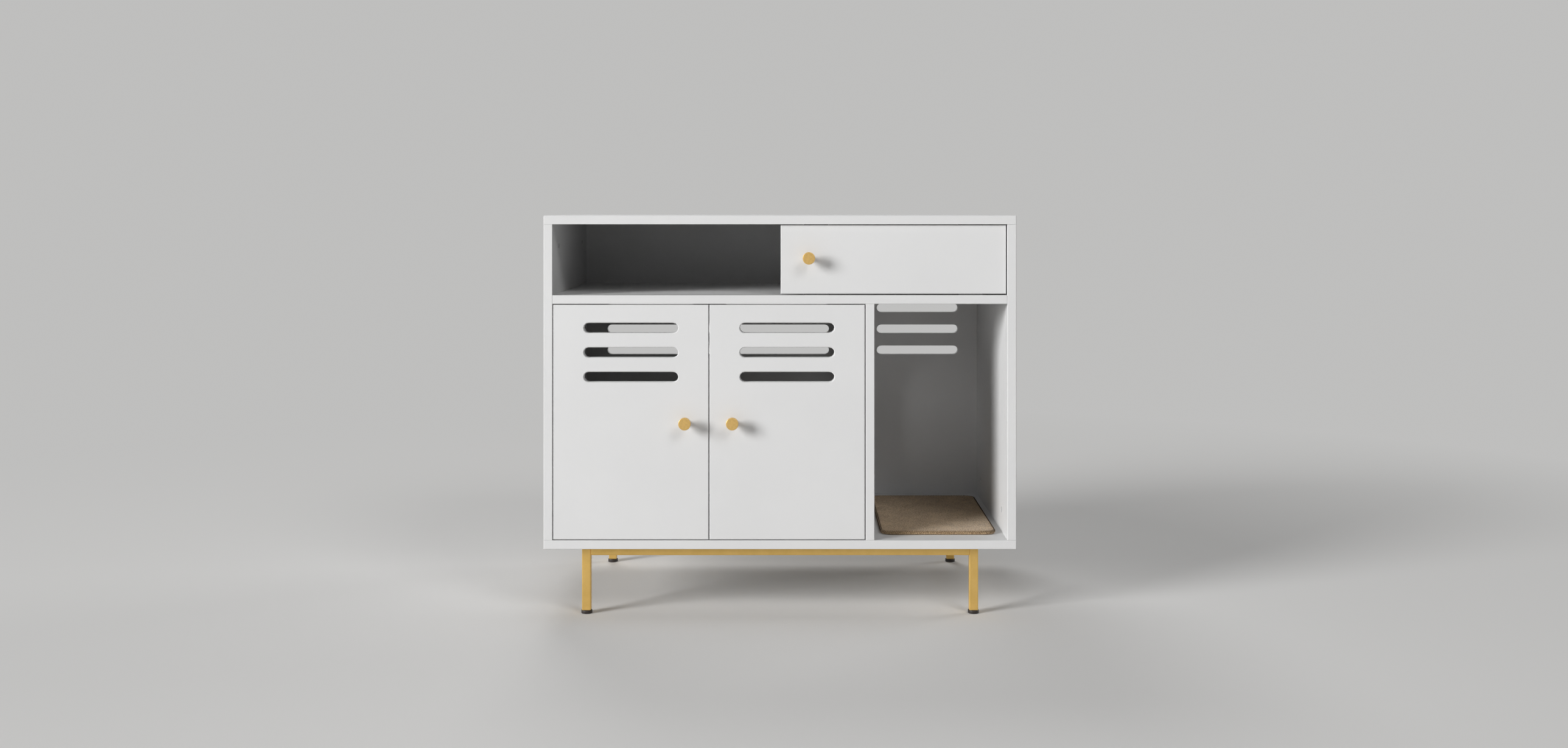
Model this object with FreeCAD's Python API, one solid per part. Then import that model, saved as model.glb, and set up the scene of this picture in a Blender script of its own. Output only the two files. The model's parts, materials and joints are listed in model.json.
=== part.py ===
import FreeCAD, Part
import math
import os

# Litter box enclosure: a white board cabinet on a gold square-tube base.
# +X is the right of the cabinet, +Y its rear, +Z up.  Origin: middle of the footprint, on the floor.

# Cabinet
cabinet_width = 800.0
cabinet_depth = 450.0
leg_height = 115.0
lower_opening_height = 400.0
upper_opening_height = 120.0
niche_width = 225.0
board = 15.0
edge_ease = 0.8

# Swinging doors
door_thickness = 15.0
door_gap = 1.5
vent_length = 160.0
vent_width = 17.0
vent_pitch = 41.5
vent_count = 3
door_vent_drop = 39.0
vent_ease = 1.2

# Slots in the back
back_vent_long = 437.0
back_vent_short = 160.0
back_vent_drop = 33.5
back_vent_shift = -5.0

# Cat doorway in the divider
doorway_width = 200.0
doorway_height = 260.0
doorway_sill = 60.0
doorway_back_set = 260.0

# Knobs
knob_projection = 26.0
knob_head_radius = 10.4
knob_head_length = 8.0
knob_neck_radius = 4.6
knob_foot_radius = 6.8
knob_flare = 4.0
knob_rim = 0.8
knob_from_meeting = 40.0
slide_knob_from_edge = 47.5
slide_knob_rise = 2.5
knob_thread_radius = 2.0
knob_thread_depth = 11.0
knob_screw_head_radius = 4.0
knob_screw_head_length = 2.4

# Sliding door and its tracks
slide_width = 382.0
slide_thickness = 12.0
slide_recess = 4.5
slide_end_gap = 1.8
slide_top_gap = 1.5
slide_bottom_gap = 2.0
track_width = 12.0
track_depth = 8.0
track_wall = 1.5
glide_length = 40.0
glide_from_end = 60.0
glide_plug_radius = 3.8
glide_plug_length = 12.0

# Concealed hinges: a cup in the door, one pin, and a crescent arm on the cabinet
hinge_from_end = 78.0
hinge_pin_set = 17.5
hinge_pin_back = 6.8
hinge_pin_radius = 1.5
cup_centre_set = 24.0
cup_recess_radius = 17.5
cup_recess_depth = 12.0
cup_wall = 1.4
cup_floor = 0.9
cup_flange_thickness = 1.2
cup_flange_lip = 2.4
cup_ear_length = 66.0
cup_ear_width = 13.0
cup_screw_spacing = 52.0
cup_screw_set = 5.5
arm_eye_radius = 2.4
arm_width = 10.0
arm_neck_thickness = 2.2
arm_neck_angle = 28.0
crescent_inner_radius = 19.2
arm_thickness = 3.0
arm_end_set = 82.0
arm_bar_width = 14.0
plate_height = 7.6
plate_body_width = 12.0
plate_front_set = 36.0
plate_screw_set = 52.0
plate_screw_spacing = 32.0
plate_ear_thickness = 3.0
plate_ear_radius = 7.0
arm_fixing_set = 70.0
arm_adjust_set = 44.0

# Knock-down fittings
cam_radius = 5.0
cam_length = 11.0
cam_sink = 0.8
cam_edge_set = 38.0
cam_end_set = 75.0
bolt_radius = 2.5
bolt_grip = 11.0
dowel_radius = 4.0
dowel_length = 24.0
dowel_end_set = 120.0
back_cam_heights = (240.0, 600.0)

# Magnet catch behind the meeting edges of the doors
catch_width = 56.0
catch_depth = 16.0
catch_height = 12.0
magnet_width = 14.0
magnet_height = 8.0
magnet_length = 10.0
strike_radius = 5.5
strike_thickness = 1.0
strike_set = 16.0

# Base
tube = 15.0
tube_wall = 1.2
tube_corner = 1.0
leg_inset_side = 62.0
leg_inset_end = 22.0
foot_height = 6.5
foot_radius = 9.4
foot_rim = 1.8
foot_stud_radius = 4.0
foot_stud_length = 16.0
plug_length = 14.0
rail_bolt_radius = 3.0
rail_bolt_head_radius = 4.8
rail_bolt_head_length = 4.0
rail_insert_length = 20.0
base_screw_set = 70.0

# Wood screws
screw_radius = 2.0
screw_head_radius = 3.8
screw_head_length = 2.2
screw_grip = 11.0

# Mat in the niche
mat_width = 200.0
mat_length = 340.0
mat_thickness = 7.0
mat_front_set = 43.0
mat_corner = 20.0

# Sides of round things drawn as prisms
hidden_sides = 6
cam_sides = 8
cup_sides = 10
flange_sides = 12
slot_steps = 6

# Clearances
running_gap = 0.3
pin_gap = 0.1
fit_gap = 0.2

# Places worked out from the sizes above
half_width = cabinet_width / 2
front_y = (knob_projection - cabinet_depth) / 2
rear_y = front_y + cabinet_depth
back_y = rear_y - board
base_z = leg_height
floor_z = base_z + board
shelf_z = floor_z + lower_opening_height
upper_floor_z = shelf_z + board
top_z = upper_floor_z + upper_opening_height
total_height = top_z + board
inner_x = half_width - board
divider_right = inner_x - niche_width
divider_left = divider_right - board
room_middle = (divider_left - inner_x) / 2
niche_middle = (divider_right + inner_x) / 2
door_bottom = floor_z + door_gap
door_top = shelf_z - door_gap
door_middle_z = (door_bottom + door_top) / 2
door_width = (divider_left + inner_x - 3 * door_gap) / 2
door_back_y = front_y + door_thickness
hinge_heights = (door_bottom + hinge_from_end, door_top - hinge_from_end)
slide_left = inner_x - slide_end_gap - slide_width
slide_right = inner_x - slide_end_gap
slide_bottom = upper_floor_z + slide_bottom_gap
slide_top = top_z - slide_top_gap
slide_front_y = front_y + slide_recess
slide_middle_y = slide_front_y + slide_thickness / 2
leg_outer_x = half_width - leg_inset_side
leg_inner_x = leg_outer_x - tube
leg_front_y = front_y + leg_inset_end
leg_rear_y = rear_y - leg_inset_end
leg_middle_x = (leg_outer_x + leg_inner_x) / 2
leg_middles_y = (leg_front_y + tube / 2, leg_rear_y - tube / 2)
rail_z = base_z - tube / 2

X = FreeCAD.Vector(1, 0, 0)
Y = FreeCAD.Vector(0, 1, 0)
Z = FreeCAD.Vector(0, 0, 1)

cutters = []


def vec(x, y, z):
    return FreeCAD.Vector(x, y, z)


def block(x0, x1, y0, y1, z0, z1):
    """A box between two corners."""
    return Part.makeBox(x1 - x0, y1 - y0, z1 - z0, vec(x0, y0, z0))


def rod(radius, length, start, direction):
    return Part.makeCylinder(radius, length, start, direction)


def peg(radius, length, start, direction, sides=hidden_sides):
    """A many-sided prism, for small round fittings and for the holes they sit in."""
    across = Z if abs(direction.z) < 0.5 else X
    up = direction.cross(across)
    points = []
    for i in range(sides + 1):
        angle = 2 * math.pi * (i % sides + 0.5) / sides
        points.append(start + across * (radius * math.cos(angle)) + up * (radius * math.sin(angle)))
    return Part.Face(Part.makePolygon(points)).extrude(direction * length)


def fuse(shapes):
    return shapes[0].fuse(shapes[1:]).removeSplitter()


def group(shapes):
    return Part.makeCompound(shapes)


def round_edges(shape, radius, wanted):
    """Fillets the edges for which wanted(edge) is true."""
    return shape.makeFillet(radius, [edge for edge in shape.Edges if wanted(edge)])


def bevel_edges(shape, size, wanted):
    """Chamfers the edges for which wanted(edge) is true."""
    return shape.makeChamfer(size, [edge for edge in shape.Edges if wanted(edge)])


def lies_on(edge, axis, value):
    """True where the whole edge lies in the plane axis = value."""
    points = edge.discretize(3)
    return all(abs(getattr(point, axis) - value) < 1e-4 for point in points)


def runs_along(edge, axis):
    direction = edge.tangentAt(edge.FirstParameter)
    return abs(getattr(direction, axis)) > 0.999 and edge.Curve.TypeId == "Part::GeomLine"


def ease_front(shape):
    """Softens the edges of a board's front face, as its edge band does."""
    front = shape.BoundBox.YMin
    return bevel_edges(shape, edge_ease, lambda edge: lies_on(edge, "y", front))


def touches(a, b):
    return a.BoundBox.intersect(b.BoundBox)


def drilled(shape):
    """Cuts every fitting's hole that reaches this board."""
    near = [cutter for cutter in cutters if touches(shape, cutter)]
    if near:
        shape = shape.cut(near)
    return shape


def slot_cutter(middle_x, middle_z, length, y0, y1):
    """A round-ended slot, cut through along Y, with each end drawn in a few straight steps."""
    radius = vent_width / 2
    straight = length / 2 - radius
    points = []
    for side in (1, -1):
        for i in range(slot_steps + 1):
            angle = math.pi * (i / slot_steps - 0.5)
            points.append(vec(middle_x + side * (straight + radius * math.cos(angle)), y0,
                              middle_z + side * radius * math.sin(angle)))
    return Part.Face(Part.makePolygon(points + [points[0]])).extrude(Y * (y1 - y0))


# Knock-down fittings: each makes its own holes

def cam_fitting(centre, face, pull):
    """A cam set in a board's face and the bolt that it pulls, which reaches into the next board."""
    axis_point = centre - face * (board / 2)
    seat = centre - face * cam_sink
    reach = cam_edge_set + bolt_grip
    cutters.append(peg(cam_radius + fit_gap, cam_length + cam_sink + fit_gap, centre, face * -1, cam_sides))
    cutters.append(peg(bolt_radius + fit_gap, reach, axis_point, pull))
    cam = peg(cam_radius, cam_length, seat, face * -1, cam_sides)
    head = cam_radius + fit_gap
    bolt = peg(bolt_radius, reach - head - fit_gap, axis_point + pull * head, pull)
    return cam, bolt


def dowel(joint_point, direction):
    """A wooden dowel, half in each board."""
    half = dowel_length / 2
    cutters.append(peg(dowel_radius + pin_gap, dowel_length, joint_point - direction * half, direction))
    length = dowel_length - 2 * fit_gap
    return peg(dowel_radius, length, joint_point - direction * (length / 2), direction)


def wood_screw(seat, direction, plate=0.0):
    """A pan-head screw whose head rests at seat and whose shank runs along direction."""
    cutters.append(peg(screw_radius + pin_gap, plate + screw_grip + fit_gap, seat, direction))
    top = seat - direction * screw_head_length
    head = peg(screw_head_radius, screw_head_length, top, direction)
    return fuse([head, peg(screw_radius, plate + screw_grip, seat, direction)])


def board_fittings():
    """Cams, bolts and dowels of every board joint."""
    cams = []
    bolts = []
    dowels = []
    ends = (front_y + cam_end_set, rear_y - cam_end_set)
    dowel_y = (front_y + rear_y) / 2
    places = []
    for side in (-1, 1):
        for y in ends:
            places.append((vec(side * inner_x, y, top_z - cam_edge_set), X * -side, Z))
            places.append((vec(side * inner_x, y, floor_z + cam_edge_set), X * -side, Z * -1))
            places.append((vec(side * (inner_x - cam_edge_set), y, shelf_z), Z * -1, X * side))
        for z in back_cam_heights:
            places.append((vec(side * (inner_x - cam_edge_set), rear_y, z), Y, X * side))
        dowels.append(dowel(vec(side * (inner_x + board / 2), dowel_y, top_z), Z))
        dowels.append(dowel(vec(side * (inner_x + board / 2), dowel_y, floor_z), Z))
        dowels.append(dowel(vec(side * inner_x, dowel_y, shelf_z + board / 2), X))
    places.append((vec(divider_left, rear_y - cam_end_set, shelf_z - cam_edge_set), X * -1, Z))
    places.append((vec(divider_left, rear_y - cam_end_set, floor_z + cam_edge_set), X * -1, Z * -1))
    for z in (floor_z, shelf_z):
        dowels.append(dowel(vec(divider_left + board / 2, front_y + dowel_end_set, z), Z))
    for centre, face, pull in places:
        cam, bolt = cam_fitting(centre, face, pull)
        cams.append(cam)
        bolts.append(bolt)
    return {"cam_locks": group(cams), "cam_bolts": group(bolts), "dowels": group(dowels)}


# Boards

def track_groove(z0, z1):
    half = track_width / 2 + pin_gap
    return block(-inner_x, inner_x, slide_middle_y - half, slide_middle_y + half, z0, z1)


def top_panel():
    shape = block(-half_width, half_width, front_y, rear_y, top_z, total_height)
    shape = bevel_edges(shape, edge_ease, lambda edge: not lies_on(edge, "z", top_z))
    return drilled(shape.cut(track_groove(top_z, top_z + track_depth)))


def bottom_panel():
    shape = block(-half_width, half_width, front_y, rear_y, base_z, floor_z)
    return drilled(ease_front(shape))


def side_panel(side):
    xs = sorted((side * inner_x, side * half_width))
    shape = block(xs[0], xs[1], front_y, rear_y, floor_z, top_z)
    return drilled(ease_front(shape))


def shelf_panel():
    shape = ease_front(block(-inner_x, inner_x, front_y, back_y, shelf_z, upper_floor_z))
    return drilled(shape.cut(track_groove(upper_floor_z - track_depth, upper_floor_z)))


def doorway_cutter():
    """The cat's doorway: straight jambs and a half-round head."""
    radius = doorway_width / 2
    middle_y = front_y + doorway_back_set
    sill_z = floor_z + doorway_sill
    spring_z = sill_z + doorway_height - radius
    jambs = block(divider_left, divider_right, middle_y - radius, middle_y + radius, sill_z, spring_z)
    return fuse([jambs, rod(radius, board, vec(divider_left, middle_y, spring_z), X)])


def divider_panel():
    shape = ease_front(block(divider_left, divider_right, front_y, back_y, floor_z, shelf_z))
    shape = shape.cut(doorway_cutter())
    middle_y = front_y + doorway_back_set
    rim = lambda edge: (abs(edge.CenterOfMass.y - middle_y) < doorway_width / 2 + 1
                        and floor_z + 1 < edge.CenterOfMass.z < shelf_z - 1
                        and (lies_on(edge, "x", divider_left) or lies_on(edge, "x", divider_right)))
    return drilled(bevel_edges(shape, vent_ease, rim))


def back_panel():
    shape = block(-inner_x, inner_x, back_y, rear_y, floor_z, top_z)
    slots = []
    for middle, length in ((room_middle, back_vent_long), (niche_middle, back_vent_short)):
        for row in range(vent_count):
            z = shelf_z - back_vent_drop - row * vent_pitch
            slots.append(slot_cutter(middle + back_vent_shift, z, length, back_y, rear_y))
    return drilled(shape.cut(slots))


# Knobs, each with its screw from the back of the door

def knob(x, face_y, z):
    """A turned knob that stands out of a door's face: a tapered neck and a flat head."""
    neck_end = knob_projection - knob_head_length
    rim_start = knob_projection - knob_rim
    outline = [(0, 0), (knob_foot_radius, 0), (knob_neck_radius, neck_end - knob_flare),
               (knob_head_radius, neck_end), (knob_head_radius, rim_start),
               (knob_head_radius - knob_rim, knob_projection), (0, knob_projection)]
    points = [vec(x + radius, face_y - out, z) for radius, out in outline]
    shape = Part.Face(Part.makePolygon(points + [points[0]])).revolve(vec(x, face_y, z), Y, 360)
    thread = peg(knob_thread_radius + pin_gap, knob_thread_depth + fit_gap, vec(x, face_y, z), Y * -1)
    return shape.cut(thread)


def knob_screw(x, face_y, back_face, z):
    """A machine screw from the back of a door into its knob."""
    seat = vec(x, back_face, z)
    head = peg(knob_screw_head_radius, knob_screw_head_length, seat, Y)
    return fuse([head, peg(knob_thread_radius, back_face - face_y + knob_thread_depth, seat, Y * -1)])


def knob_hole(x, face_y, thickness, z):
    return peg(knob_thread_radius + fit_gap, thickness, vec(x, face_y, z), Y)


# Swinging doors and their hinges.  A hinge is drawn once, for a wall on its left at u = 0:
# u runs from the wall into the opening, v from the front plane to the rear, and z = 0 is its middle.

def door_wall(side):
    """The face that carries a door's hinges, and the way from it into the opening."""
    return (-inner_x, 1) if side == "left" else (divider_left, -1)


def place_hinge_piece(shape, side, z):
    wall, way = door_wall(side)
    if way < 0:
        shape = shape.mirror(vec(0, 0, 0), X)
    shape.translate(vec(wall, front_y, z))
    return shape


def ring_sector(inner, outer, start, sweep, width):
    """A flat ring sector about the hinge pin."""
    centre = vec(hinge_pin_set, hinge_pin_back, -width / 2)
    ring = Part.makeCylinder(outer, width, centre, Z, sweep)
    ring = ring.cut(Part.makeCylinder(inner, width, centre, Z))
    ring.rotate(centre, Z, start)
    return ring


def hinge_arm():
    """A crescent that swings clear of the door's edge, and the bar that lies on the plate."""
    half = arm_width / 2
    outer = crescent_inner_radius + arm_thickness
    eye = peg(arm_eye_radius, arm_width, vec(hinge_pin_set, hinge_pin_back, -half), Z, cam_sides)
    neck = block(0, crescent_inner_radius + arm_thickness / 2, -arm_neck_thickness / 2,
                 arm_neck_thickness / 2, -half, half)
    neck.rotate(vec(0, 0, 0), Z, arm_neck_angle)
    neck.translate(vec(hinge_pin_set, hinge_pin_back, 0))
    crescent = ring_sector(crescent_inner_radius, outer, arm_neck_angle, 90 - arm_neck_angle, arm_width)
    bridge_v = hinge_pin_back + crescent_inner_radius
    bridge = block(plate_height, hinge_pin_set, bridge_v, bridge_v + arm_thickness, -half, half)
    wide = arm_bar_width / 2
    bar = block(plate_height, plate_height + arm_thickness, plate_front_set, arm_end_set, -wide, wide)
    bar = bevel_edges(bar, wide * 0.4, lambda edge: runs_along(edge, "x"))
    link = block(plate_height, plate_height + arm_thickness, bridge_v, plate_front_set + wide, -half, half)
    shape = fuse([eye, neck, crescent, bridge, link, bar])
    pin_start = vec(hinge_pin_set, hinge_pin_back, -half)
    holes = [peg(hinge_pin_radius + fit_gap, arm_width, pin_start, Z, cam_sides)]
    for v in (arm_fixing_set, arm_adjust_set):
        holes.append(peg(screw_radius + pin_gap, arm_thickness, vec(plate_height, v, 0), X))
    return shape.cut(holes)


def hinge_plate():
    """A cruciform mounting plate: a raised body under the arm, and an ear above and below."""
    half = plate_body_width / 2
    body = block(0, plate_height, plate_front_set, arm_end_set, -half, half)
    reach = plate_screw_spacing / 2
    ears = [block(0, plate_ear_thickness, plate_screw_set - plate_ear_radius,
                  plate_screw_set + plate_ear_radius, -reach, reach)]
    for z in (-reach, reach):
        ears.append(peg(plate_ear_radius, plate_ear_thickness, vec(0, plate_screw_set, z), X, cam_sides))
    shape = fuse([body] + ears)
    holes = [peg(screw_radius + pin_gap, plate_ear_thickness, vec(0, plate_screw_set, z), X)
             for z in (-reach, reach)]
    holes += [peg(screw_radius + pin_gap, plate_height, vec(0, v, 0), X)
              for v in (arm_fixing_set, arm_adjust_set)]
    return shape.cut(holes)


def hinge_cup():
    """A pressed cup with a flange and two screw ears, bored across for the pin."""
    outer = cup_recess_radius - fit_gap
    depth = cup_recess_depth - running_gap
    rim_v = door_thickness
    ear_u = cup_centre_set + cup_screw_set
    half = cup_ear_width / 2
    reach = cup_ear_length / 2 - half
    flange = [peg(cup_recess_radius + cup_flange_lip, cup_flange_thickness,
                  vec(cup_centre_set, rim_v, 0), Y, flange_sides)]
    flange.append(block(ear_u - half, ear_u + half, rim_v, rim_v + cup_flange_thickness, -reach, reach))
    for z in (-reach, reach):
        flange.append(peg(half, cup_flange_thickness, vec(ear_u, rim_v, z), Y, cam_sides))
    body = peg(outer, depth, vec(cup_centre_set, rim_v, 0), Y * -1, cup_sides)
    hollow = peg(outer - cup_wall, depth - cup_floor + cup_flange_thickness,
                 vec(cup_centre_set, rim_v + cup_flange_thickness, 0), Y * -1, cup_sides)
    pin_start = vec(hinge_pin_set, hinge_pin_back, -outer)
    holes = [hollow, peg(hinge_pin_radius + pin_gap, 2 * outer, pin_start, Z, cam_sides)]
    for z in (-cup_screw_spacing / 2, cup_screw_spacing / 2):
        holes.append(peg(screw_radius + pin_gap, cup_flange_thickness, vec(ear_u, rim_v, z), Y))
    return fuse(flange + [body]).cut(holes)


def hinge_pin():
    """A pin across the cup, as long as the chord that it spans."""
    flats = (cup_recess_radius - fit_gap) * math.cos(math.pi / cup_sides)
    offset = cup_centre_set - hinge_pin_set + hinge_pin_radius
    half = math.sqrt(flats ** 2 - offset ** 2) - pin_gap
    return peg(hinge_pin_radius, 2 * half, vec(hinge_pin_set, hinge_pin_back, -half), Z, cam_sides)


def cup_recess():
    rim = vec(cup_centre_set, door_thickness, 0)
    return peg(cup_recess_radius, cup_recess_depth, rim, Y * -1, cup_sides)


def arm_screws():
    """The fixing screw and the adjusting screw that hold the arm on its plate."""
    seat = plate_height + arm_thickness
    screws = []
    for v in (arm_fixing_set, arm_adjust_set):
        head = peg(screw_head_radius, screw_head_length, vec(seat, v, 0), X)
        shank = peg(screw_radius, seat - fit_gap, vec(fit_gap, v, 0), X)
        screws.append(fuse([head, shank]))
    return screws


def hinge_pieces(side):
    """Every hinge piece of one door, by name, and the screws that reach into the boards."""
    wall, way = door_wall(side)
    kinds = ("arms", "plates", "cups", "pins", "arm_screws", "plate_screws", "cup_screws")
    pieces = {kind: [] for kind in kinds}
    for z in hinge_heights:
        pieces["arms"].append(place_hinge_piece(hinge_arm(), side, z))
        pieces["plates"].append(place_hinge_piece(hinge_plate(), side, z))
        pieces["cups"].append(place_hinge_piece(hinge_cup(), side, z))
        pieces["pins"].append(place_hinge_piece(hinge_pin(), side, z))
        cutters.append(place_hinge_piece(cup_recess(), side, z))
        for screw in arm_screws():
            pieces["arm_screws"].append(place_hinge_piece(screw, side, z))
        for end in (-1, 1):
            seat = vec(wall + way * plate_ear_thickness, front_y + plate_screw_set,
                       z + end * plate_screw_spacing / 2)
            pieces["plate_screws"].append(wood_screw(seat, X * -way, plate_ear_thickness))
            seat = vec(wall + way * (cup_centre_set + cup_screw_set), door_back_y + cup_flange_thickness,
                       z + end * cup_screw_spacing / 2)
            pieces["cup_screws"].append(wood_screw(seat, Y * -1, cup_flange_thickness))
    return pieces


def door_span(side):
    wall, way = door_wall(side)
    return sorted((wall + way * door_gap, wall + way * (door_gap + door_width)))


def door_panel(side):
    """A flush door with three slots, its hinge recesses and its knob hole."""
    x0, x1 = door_span(side)
    shape = block(x0, x1, front_y, door_back_y, door_bottom, door_top)
    slots = []
    for row in range(vent_count):
        z = door_top - door_vent_drop - row * vent_pitch
        slots.append(slot_cutter((x0 + x1) / 2, z, vent_length, front_y, door_back_y))
    shape = shape.cut(slots)
    outline = lambda edge: lies_on(edge, "y", front_y) and edge.Length > vent_length
    shape = bevel_edges(shape, edge_ease, outline)
    inside = lambda edge: (lies_on(edge, "y", front_y) and x0 + 5 < edge.CenterOfMass.x < x1 - 5
                           and door_bottom + 5 < edge.CenterOfMass.z < door_top - 5)
    shape = bevel_edges(shape, vent_ease, inside)
    x, z = knob_place(side)
    return drilled(shape.cut(knob_hole(x, front_y, door_thickness, z)))


def knob_place(side):
    way = -1 if side == "left" else 1
    return room_middle + way * knob_from_meeting, door_middle_z


# Magnet catch

def strike_place(side):
    way = -1 if side == "left" else 1
    return room_middle + way * strike_set, shelf_z - catch_height / 2


def strike_plate(side):
    x, z = strike_place(side)
    return peg(strike_radius, strike_thickness, vec(x, door_back_y, z), Y, cup_sides)


def catch_parts():
    """A plastic block under the shelf that holds two magnets, and its screws."""
    front = door_back_y + strike_thickness + running_gap
    body = block(room_middle - catch_width / 2, room_middle + catch_width / 2, front, front + catch_depth,
                 shelf_z - catch_height, shelf_z)
    magnets = []
    pockets = []
    for side in ("left", "right"):
        x, z = strike_place(side)
        half = magnet_width / 2
        high = magnet_height / 2
        magnets.append(block(x - half, x + half, front, front + magnet_length, z - high, z + high))
        pockets.append(block(x - half - pin_gap, x + half + pin_gap, front, front + magnet_length + pin_gap,
                             z - high - pin_gap, z + high + pin_gap))
    body = body.cut(pockets)
    screw = wood_screw(vec(room_middle, front + catch_depth / 2, shelf_z - catch_height), Z, catch_height)
    body = drilled(body)
    return {"magnet_catch": body, "catch_magnets": group(magnets), "catch_screw": screw}


# Sliding door

def track(upper):
    """A U channel let into the shelf or the top, open towards the door."""
    half = track_width / 2
    low = top_z if upper else upper_floor_z - track_depth
    outer = block(-inner_x, inner_x, slide_middle_y - half, slide_middle_y + half, low, low + track_depth)
    slot_half = half - track_wall
    slot_low = low if upper else low + track_wall
    slot = block(-inner_x, inner_x, slide_middle_y - slot_half, slide_middle_y + slot_half,
                 slot_low, slot_low + track_depth - track_wall)
    return outer.cut(slot)


def glide_places():
    return (slide_left + glide_from_end, slide_right - glide_from_end)


def glide_holes():
    """Round holes in the door's edges for the plugs of its glides."""
    holes = []
    for x in glide_places():
        holes.append(peg(glide_plug_radius + pin_gap, glide_plug_length + fit_gap,
                         vec(x, slide_middle_y, slide_bottom), Z))
        holes.append(peg(glide_plug_radius + pin_gap, glide_plug_length + fit_gap,
                         vec(x, slide_middle_y, slide_top), Z * -1))
    return holes


def glide(x, upper):
    """A plastic shoe: a tongue in the track, and a plug in the door's edge."""
    half = track_width / 2 - track_wall - running_gap
    reach = track_depth - track_wall - running_gap
    if upper:
        z0, z1 = slide_top, top_z + reach
        plug = peg(glide_plug_radius, glide_plug_length, vec(x, slide_middle_y, slide_top), Z * -1)
    else:
        z0, z1 = upper_floor_z - reach, slide_bottom
        plug = peg(glide_plug_radius, glide_plug_length, vec(x, slide_middle_y, slide_bottom), Z)
    tongue = block(x - glide_length / 2, x + glide_length / 2,
                   slide_middle_y - half, slide_middle_y + half, z0, z1)
    return fuse([tongue, plug])


def slide_knob_place():
    return slide_left + slide_knob_from_edge, (slide_bottom + slide_top) / 2 + slide_knob_rise


def sliding_door():
    back = slide_front_y + slide_thickness
    shape = block(slide_left, slide_right, slide_front_y, back, slide_bottom, slide_top)
    shape = ease_front(shape)
    x, z = slide_knob_place()
    return shape.cut(glide_holes() + [knob_hole(x, slide_front_y, slide_thickness, z)])


# Base

def tube_bar(x0, x1, y0, y1, z0, z1, axis):
    """A length of square tube with rounded corners, solid inside until it is bored."""
    return bevel_edges(block(x0, x1, y0, y1, z0, z1), tube_corner, lambda edge: runs_along(edge, axis))


def base_screw_places():
    """Where screws come up through the rails: x, y and the rail that holds each."""
    places = []
    for side in (-1, 1):
        for end in (leg_front_y + base_screw_set, leg_rear_y - base_screw_set):
            places.append((side * leg_middle_x, end))
        for y in leg_middles_y:
            places.append((side * (leg_inner_x - base_screw_set), y))
    return places


def base_screws():
    seat_z = base_z - tube_wall
    return [wood_screw(vec(x, y, seat_z), Z, tube_wall) for x, y in base_screw_places()]


def access_holes():
    """Holes in the lower wall of the rails that let a screwdriver in."""
    return [peg(screw_head_radius + 1, tube_wall * 2, vec(x, y, base_z - tube - tube_wall / 2), Z, cam_sides)
            for x, y in base_screw_places()]


def rail_bolt_places():
    return [(side, y) for side in (-1, 1) for y in leg_middles_y]


def leg_frame(side):
    """Two legs and the rail between them, welded, with the tubes open inside."""
    xs = sorted((side * leg_inner_x, side * leg_outer_x))
    legs = [(leg_front_y, leg_front_y + tube), (leg_rear_y - tube, leg_rear_y)]
    wall = tube_wall
    solids = [tube_bar(xs[0], xs[1], y0, y1, foot_height, base_z, "z") for y0, y1 in legs]
    solids.append(tube_bar(xs[0], xs[1], legs[0][1] - wall, legs[1][0] + wall, base_z - tube, base_z, "y"))
    low, high = xs[0] + wall, xs[1] - wall
    bores = [block(low, high, y0 + wall, y1 - wall, foot_height, base_z) for y0, y1 in legs]
    bores.append(block(low, high, legs[0][1], legs[1][0], base_z - tube + wall, base_z - wall))
    shape = fuse(solids).cut(bores + access_holes())
    holes = []
    for bolt_side, y in rail_bolt_places():
        if bolt_side == side:
            start = vec(side * (leg_inner_x - wall), y, rail_z)
            holes.append(peg(rail_bolt_radius + fit_gap, 3 * wall, start, X * side))
            start = vec(side * (leg_outer_x - wall * 2), y, rail_z)
            holes.append(peg(rail_bolt_head_radius + fit_gap, 3 * wall, start, X * side, cup_sides))
    return drilled(shape.cut(holes))


def cross_rail(y0):
    """A front or rear rail, butted between the leg frames."""
    y1 = y0 + tube
    wall = tube_wall
    shape = tube_bar(-leg_inner_x, leg_inner_x, y0, y1, base_z - tube, base_z, "x")
    bore = block(-leg_inner_x, leg_inner_x, y0 + wall, y1 - wall, base_z - tube + wall, base_z - wall)
    return drilled(shape.cut([bore] + access_holes()))


def rail_inserts():
    """Threaded blocks in the ends of the front and rear rails."""
    half = tube / 2 - tube_wall - pin_gap
    inserts = []
    for side, y in rail_bolt_places():
        xs = sorted((side * (leg_inner_x - rail_insert_length), side * leg_inner_x))
        insert = block(xs[0], xs[1], y - half, y + half, rail_z - half, rail_z + half)
        bore = peg(rail_bolt_radius + pin_gap, rail_insert_length, vec(xs[0], y, rail_z), X)
        inserts.append(insert.cut(bore))
    return inserts


def rail_bolts():
    """Bolts whose heads sit inside the legs, reached through the outer wall."""
    bolts = []
    for side, y in rail_bolt_places():
        seat = vec(side * (leg_inner_x + tube_wall), y, rail_z)
        head = peg(rail_bolt_head_radius, rail_bolt_head_length, seat, X * side, cup_sides)
        shank = peg(rail_bolt_radius, tube_wall + rail_insert_length - fit_gap, seat, X * -side)
        bolts.append(fuse([head, shank]))
    return bolts


def leg_plugs():
    """Blocks in the bottoms of the legs, bored for the studs of the feet."""
    half = tube / 2 - tube_wall - pin_gap
    plugs = []
    for side in (-1, 1):
        for y in leg_middles_y:
            x = side * leg_middle_x
            plug = block(x - half, x + half, y - half, y + half, foot_height, foot_height + plug_length)
            bore = peg(foot_stud_radius + running_gap, plug_length, vec(x, y, foot_height), Z, cup_sides)
            plugs.append(plug.cut(bore))
    return plugs


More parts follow.
